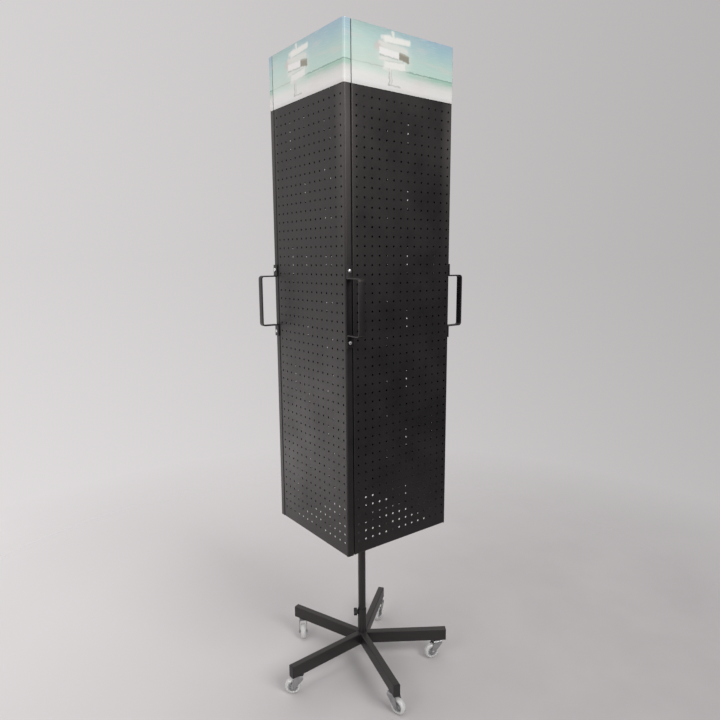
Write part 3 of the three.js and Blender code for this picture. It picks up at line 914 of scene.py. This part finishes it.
def make_socket():
    """The upright tube, closed at its foot, with the nut for the lock screw welded on."""
    low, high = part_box("base_socket")
    bore, floor = 12.8 * MM, low.z + 3 * MM
    outline = [(0, low.z), (SOCKET_RADIUS, low.z), (SOCKET_RADIUS, high.z)]
    outline += [(bore, high.z), (bore, floor), (0, floor)]
    shell = turned(soften(outline, 0.45 * MM), 72)
    turn = joint("lock_knob_turn")
    stand = pointing(turn["axis"], Vector(turn["pos_m"]))
    nut_radius, nut_bore, nut_thickness, sunk = 7.5 * MM, 4.2 * MM, 2 * MM, 1.5 * MM
    shell.add(hex_ring(nut_radius, nut_bore, SOCKET_RADIUS - sunk, SOCKET_RADIUS + nut_thickness), stand)
    piece("socket_tube", shell, "base", TUBE_COAT, ["base_socket"])
    ring = []
    for a in circle_steps(40):
        x, y = nut_radius * math.cos(a), nut_radius * math.sin(a)
        ring.append(stand @ Vector((x, y, math.sqrt(SOCKET_RADIUS**2 - x**2))))
    piece("nut_weld", weld_bead(ring, 1.2 * MM, closed=True), "base", TUBE_COAT)


def leg_outline(depth):
    """Section of a leg with extra points along its top and bottom, so that its end can follow the socket."""
    half, corner, steps = LEG_WIDTH / 2, LEG_CORNER, 8
    flat = [half - corner - (LEG_WIDTH - 2 * corner) * i / steps for i in range(1, steps)]
    extra = {0: [(y, depth / 2) for y in flat], 180: [(-y, -depth / 2) for y in flat]}
    outline = []
    for y_side, z_side, start in ((1, 1, 0), (-1, 1, 90), (-1, -1, 180), (1, -1, 270)):
        centre = (y_side * (half - corner), z_side * (depth / 2 - corner))
        outline += arc(centre, corner, start, start + 90, 5) + extra.get(start, [])
    return outline


def cap_shell(tube_end, cap_end, depth, middle):
    """A plastic end cap with a rounded face, and its plug inside the leg."""
    # Where each outline stands, and how far it is inside the leg's own, in millimetres.
    steps = [(tube_end + 0.3 * MM, 0.5), (tube_end + 0.5 * MM, 0), (cap_end - 1.2 * MM, 0),
             (cap_end - 0.5 * MM, 0.35), (cap_end - 0.1 * MM, 1.1), (cap_end, 2.2)]
    loops = []
    for x, inset in steps:
        inset *= MM
        shape = rounded_rectangle(LEG_WIDTH - 2 * inset, depth - 2 * inset, LEG_CORNER - inset)
        loops.append([(x, y, middle + z) for y, z in shape])
    wall, plug_length = 1.8 * MM, 14 * MM
    shape = rounded_rectangle(LEG_WIDTH - 2 * wall, depth - 2 * wall, LEG_CORNER - wall)
    plug = along_x([(y, middle + z) for y, z in shape], tube_end - plug_length, tube_end + 0.4 * MM)
    return rings(loops).add(plug)


def make_legs():
    cope = SOCKET_RADIUS - 0.4 * MM  # a leg's inner end is cut to this radius
    for number, heading in enumerate(LEG_HEADINGS, 1):
        turn = rotation(heading)
        low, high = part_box(f"leg_{number}")
        depth, middle = high.z - low.z, (high.z + low.z) / 2
        outward = turn @ Vector((1, 0, 0))
        end, cap_end = (extent(node, outward)[1] for node in (f"leg_{number}", f"leg_cap_{number}"))
        near = [(math.sqrt(cope**2 - y**2), y, middle + z) for y, z in leg_outline(depth)]
        far = [(end, y, z) for _, y, z in near]
        piece(f"leg_tube_{number}", rings([near, far]).moved(turn), "base", TUBE_COAT, [f"leg_{number}"])
        cap = cap_shell(end, cap_end, depth, middle).moved(turn)
        piece(f"end_cap_{number}", cap, "base", BLACK_PLASTIC, [f"leg_cap_{number}"])


def make_leg_welds():
    """Weld all round the socket above and below the legs, and down each corner between two of them."""
    low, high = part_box("leg_1")
    bead, half_turn = 1.7 * MM, 180 / len(LEG_HEADINGS)
    beads = Shell()
    for z in (low.z + 0.2 * MM, high.z - 0.2 * MM):
        around = [Vector((math.cos(a), math.sin(a), 0)) for a in circle_steps(60)]
        ring = [spoke * (SOCKET_RADIUS + CLEARANCE) + Vector((0, 0, z)) for spoke in around]
        beads.add(weld_bead(ring, bead, closed=True))
    corner = LEG_WIDTH / 2 / math.sin(math.radians(half_turn))
    for heading in LEG_HEADINGS:
        a = math.radians(heading + half_turn)
        heights = (low.z + 1 * MM, high.z - 1 * MM)
        beads.add(weld_bead([Vector((corner * math.cos(a), corner * math.sin(a), z)) for z in heights], bead))
    piece("leg_welds", beads, "base", TUBE_COAT)


def fork_shell(top, outer, trail, axle_height):
    """A caster's fork: one bent sheet, trailing along +X, whose cheeks taper to round ends at the axle."""
    half_length, brow, bend, ear, columns = 14 * MM, 54 * MM, 4 * MM, 7 * MM, 8

    def on_ear(degrees):
        a = math.radians(degrees)
        return trail + ear * math.cos(a), axle_height + ear * math.sin(a)

    # Where the front and back edges leave the round end.
    front_x, front_z = on_ear(205)
    back_x, back_z = on_ear(5)

    def limits(z):
        """The cheek's front and back at a height."""
        inside = math.sqrt(max(ear**2 - (z - axle_height) ** 2, 0))
        front, back = trail - inside, trail + inside
        if z >= brow:
            front = -half_length
        elif z >= front_z:
            front = front_x + (-half_length - front_x) * (z - front_z) / (brow - front_z)
        if z >= back_z:
            back = back_x + (half_length - back_x) * (z - back_z) / (top - back_z)
        return front, back

    rows = [on_ear(degrees)[1] for degrees in (-89, -80, -70, -58, -45, -30, -15, 0, 5)]
    rows += [brow - 6 * MM * step for step in (4, 3, 2, 1, 0)] + [top - bend]
    run = [(outer, z) for z in rows] + arc((outer - bend, top - bend), bend, 0, 90, 6)[1:]
    run += [(-y, z) for y, z in run[::-1]]
    shell = Shell()
    grid = []
    for y, z in run:
        front, back = limits(min(z, top - bend))
        grid.append([(front + (back - front) * i / columns, y, z) for i in range(columns + 1)])
    for here, there in zip(grid, grid[1:]):
        for i in range(columns):
            shell.face([here[i + 1], there[i + 1], there[i], here[i]])
    return shell


def hex_head(radius, low, high):
    """A bolt head or nut with a chamfered outer face."""
    chamfer, chamfer_height = 0.88, 0.7 * MM
    loops = [(1, low), (1, high - chamfer_height), (chamfer, high)]
    return rings([[(x * k, y * k, z) for x, y in hexagon(radius)] for k, z in loops])


def stem_shell(fork_top):
    """A caster's stem: its riveted end under the fork, its ball race, and the pin that stands in the leg."""
    low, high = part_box("caster_stem_1")
    rivet, neck, race, pin = 7.3 * MM, 4.5 * MM, 13 * MM, 5 * MM
    rivet_top = fork_top - 2.8 * MM
    race_low, race_high = fork_top + CLEARANCE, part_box("leg_1")[0].z - CLEARANCE
    chamfer = 0.7 * MM
    profile = [(0, low.z), (rivet, low.z), (rivet, rivet_top), (neck, rivet_top), (neck, race_low)]
    profile += [(race - 2 * MM, race_low), (race, race_low + chamfer), (race, race_high - chamfer)]
    profile += [(race - 1.5 * MM, race_high), (pin, race_high), (pin, high.z), (0, high.z)]
    return turned(soften(profile, 0.5 * MM, 2), 40)


def axle_shell(seat):
    """An axle bolt about +Z, with its head at one end and a nut and the bolt's tip at the other."""
    shank, wrench, head, nut = 3 * MM, 5.2 * MM, 3.5 * MM, 2.9 * MM
    over = rotation(180, "X")
    tip_low = seat + nut - 0.1 * MM
    tip = [(0, tip_low), (shank, tip_low), (shank, seat + head), (0, seat + head)]
    shell = rod(shank, -seat, seat, 24)
    shell.add(hex_head(wrench, seat, seat + head))
    shell.add(hex_head(wrench, seat, seat + nut), over)
    return shell.add(turned(soften(tip, 0.4 * MM), 24), over)


def mirrored_ring(profile, inner, rounding, steps, segments):
    """A piece turned about +Z, alike on both sides of z = 0, from the profile of its upper side."""
    outline = [(inner, 0)] + profile + [(r, -z) for r, z in profile[::-1]] + [(inner, 0)]
    return turned(soften(outline, rounding, steps)[::-1], segments)


def tyre_shell(half, radius):
    seat = 15.7 * MM
    profile = [(seat, half - 1 * MM), (seat + 1.5 * MM, half), (radius - 4 * MM, half),
               (radius - 0.8 * MM, half - 3 * MM), (radius, half - 6 * MM)]
    return mirrored_ring(profile, seat, 1.8 * MM, 4, 64)


def core_shell(half):
    """A wheel's centre: hub, dished web with six ribs on each side, and rim."""
    bore, hub, rim_inner, rim = 3.35 * MM, 7 * MM, 13 * MM, 15.5 * MM
    web, rim_face, hub_face, rib_face = half - 4.8 * MM, half - 1.1 * MM, half - 0.4 * MM, half - 1.6 * MM
    profile = [(bore, hub_face), (hub - 0.3 * MM, hub_face), (hub + 0.5 * MM, web),
               (rim_inner - 0.3 * MM, web), (rim_inner + 0.3 * MM, rim_face), (rim, rim_face)]
    core = mirrored_ring(profile, bore, 0.5 * MM, 2, 48)
    rib, rib_root = 0.7 * MM, web - 0.2 * MM  # half a rib's thickness, and where it starts
    outline = [(hub, -rib), (rim_inner, -rib), (rim_inner, rib), (hub, rib)]
    for low, high in ((rib_root, rib_face), (-rib_face, -rib_root)):
        for i in range(6):
            core.add(prism(outline, low, high), rotation(60 * i))
    return core


def make_casters():
    fork_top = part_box("caster_fork_1")[1].z
    swivel, roll = joint("caster_swivel_1"), joint("wheel_roll_1")
    axle_height, trail = roll["pos_m"][2], math.dist(roll["pos_m"][:2], swivel["pos_m"][:2])
    side_low, side_high = extent("caster_wheel_1", roll["axis"])
    half = (side_high - side_low) / 2
    wheel_low, wheel_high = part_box("caster_wheel_1")
    fork_side = half + 0.8 * MM + FORK_SHEET
    across = Matrix.Translation((trail, 0, axle_height)) @ rotation(90, "X")
    stem = stem_shell(fork_top)
    fork = fork_shell(fork_top, fork_side, trail, axle_height)
    axle = axle_shell(fork_side + CLEARANCE).moved(across)
    tyre = tyre_shell(half, (wheel_high.z - wheel_low.z) / 2).moved(across)
    core = core_shell(half).moved(across)

    for number in CASTERS:
        x, y, _ = joint(f"caster_swivel_{number}")["pos_m"]
        wheel_x, wheel_y, _ = joint(f"wheel_roll_{number}")["pos_m"]
        heading = math.degrees(math.atan2(wheel_y - y, wheel_x - x))
        stand = Matrix.Translation((x, y, 0)) @ rotation(heading)
        caster, wheel = f"caster_{number}", f"wheel_{number}"
        piece(f"swivel_stem_{number}", stem.moved(stand), "base", ZINC, [f"caster_stem_{number}"])
        sheet = fork.moved(stand)
        piece(f"fork_sheet_{number}", sheet, caster, ZINC, [f"caster_fork_{number}"], solid=FORK_SHEET)
        piece(f"axle_bolt_{number}", axle.moved(stand), caster, ZINC, [f"caster_axle_{number}"])
        piece(f"tyre_{number}", tyre.moved(stand), wheel, URETHANE, [f"caster_wheel_{number}"])
        piece(f"wheel_core_{number}", core.moved(stand), wheel, CORE)


# ---- Stage, light and camera ----

bright_heading = math.radians(127)  # far left of the tower, for the camera
BRIGHT_SIDE = (math.cos(bright_heading), math.sin(bright_heading), 0)


def make_floor():
    """A pale round floor that fades out into the backdrop, its colour painted lighter towards the bright side
    of the light and darker towards the dark side.
    """
    radius, fade_start, fade_end = 9.0, 0.5, 2.4
    dark, bright, dust = (0.375, 0.36, 0.362), (0.79, 0.77, 0.77), (0.82, 0.8, 0.79)
    look = Look("pale floor", (0.78, 0.76, 0.75), 0.7)
    clouds = look.noise(2.5, detail=5)
    # Painted light and shade: the floor's colour runs from dark to bright towards the side the light comes
    # from.
    tone = look.patch(dark, bright, look.toward_light(look.place), -1.2, 1.2)
    look.color_from(look.patch(tone, dust, clouds, 0.35, 0.65, 0.12))
    look.bump(look.noise(120), 0.3 * MM, 0.2)
    distance = look.node("ShaderNodeVectorMath", {0: look.place}, operation="LENGTH").outputs["Value"]
    clear = look.node("ShaderNodeBsdfTransparent").outputs["BSDF"]
    fade = {"Fac": look.remap(distance, fade_start, fade_end), 1: look.shader.outputs["BSDF"], 2: clear}
    blend = look.node("ShaderNodeMixShader", fade).outputs["Shader"]
    look.fill(look.find("OUTPUT_MATERIAL"), {"Surface": blend})
    shell = Shell()
    shell.face([(radius * math.cos(a), radius * math.sin(a), 0) for a in circle_steps(96)])
    new_object("floor", shell, look.material)


def make_world():
    """Pale light from all round: brightest on the far left, dark on the near right, a little brighter low
    down. Only mirrored light sees the dark side; seen directly, it stays pale."""
    world = bpy.data.worlds.new("studio")
    world.use_nodes = True
    nodes = Nodes(world.node_tree)
    # From the dark side (0) round to the bright side (1).
    levels = [(0.0, 0.042), (0.2, 0.1), (0.33, 0.44), (0.64, 0.56), (0.86, 0.66), (1.0, 0.72)]
    stops = [(place, (level, level * 0.962, level * 0.97)) for place, level in levels]
    darkest_seen = 0.35
    heading = nodes.node("ShaderNodeTexCoord").outputs["Generated"]
    around = nodes.remap(nodes.toward_light(heading), -1, 1)
    seen_directly = nodes.node("ShaderNodeLightPath").outputs["Is Camera Ray"]
    around = nodes.math("MAXIMUM", around, nodes.math("MULTIPLY", seen_directly, darkest_seen))
    strength = nodes.remap(nodes.split(heading)["Z"], 0, -0.35, 1.02, 1.13)
    nodes.fill(nodes.find("BACKGROUND"), {"Color": nodes.ramp(around, stops), "Strength": strength})
    SCENE.world = world


def make_lights():
    """Soft boxes, each with its place, size and power."""
    aim = Vector((0, 0, 1.1))
    boxes = [
        ("front", (0.3, -3.2, 3.0), 1.8, 78),
        ("top", (0.0, 0.2, 4.2), 2.6, 40),
        ("left_low", (-1.3, 1.95, 0.2), 0.9, 3.2),
        ("left_high", (-3.1, -0.6, 2.8), 1.2, 14),
    ]
    for name, place, size, power in boxes:
        data = bpy.data.lights.new(name, "AREA")
        data.shape = "SQUARE"
        data.size = size
        data.energy = power
        data.color = (1.0, 0.98, 0.978)
        lamp = bpy.data.objects.new(name, data)
        lamp.location = place
        lamp.rotation_mode = "QUATERNION"
        lamp.rotation_quaternion = (aim - Vector(place)).to_track_quat("-Z", "Y")
        SCENE.collection.objects.link(lamp)


def make_camera():
    """The photograph's view: the front corner, from head height, looking a little down."""
    distance, height, stands_at = 1.869, 1.3535, math.radians(-126.81)
    looks_along, pitch, roll = 53.25, 9.43, -0.341
    sensor, lens = 36, 29.95
    data = bpy.data.cameras.new("camera")
    data.sensor_width = sensor
    data.lens = lens
    camera = bpy.data.objects.new("camera", data)
    place = Vector((distance * math.cos(stands_at), distance * math.sin(stands_at), height))
    turn = rotation(looks_along - 90) @ rotation(90 - pitch, "X") @ rotation(roll)
    camera.matrix_world = Matrix.Translation(place) @ turn
    SCENE.collection.objects.link(camera)
    SCENE.camera = camera


# ---- Build ----

make_tower_sides()
make_cross("lower_cross", 4 * MM)
make_cross("upper_cross", 5 * MM)
make_pole()
make_lock()
make_socket()
make_legs()
make_leg_welds()
make_casters()
frame["nodes"]["pole_pivot"].data.materials.clear()
frame["nodes"]["pole_pivot"].data.materials.append(BLACK_PLASTIC[0])
make_floor()
make_world()
make_lights()
make_camera()
SCENE.view_settings.view_transform = "Standard"
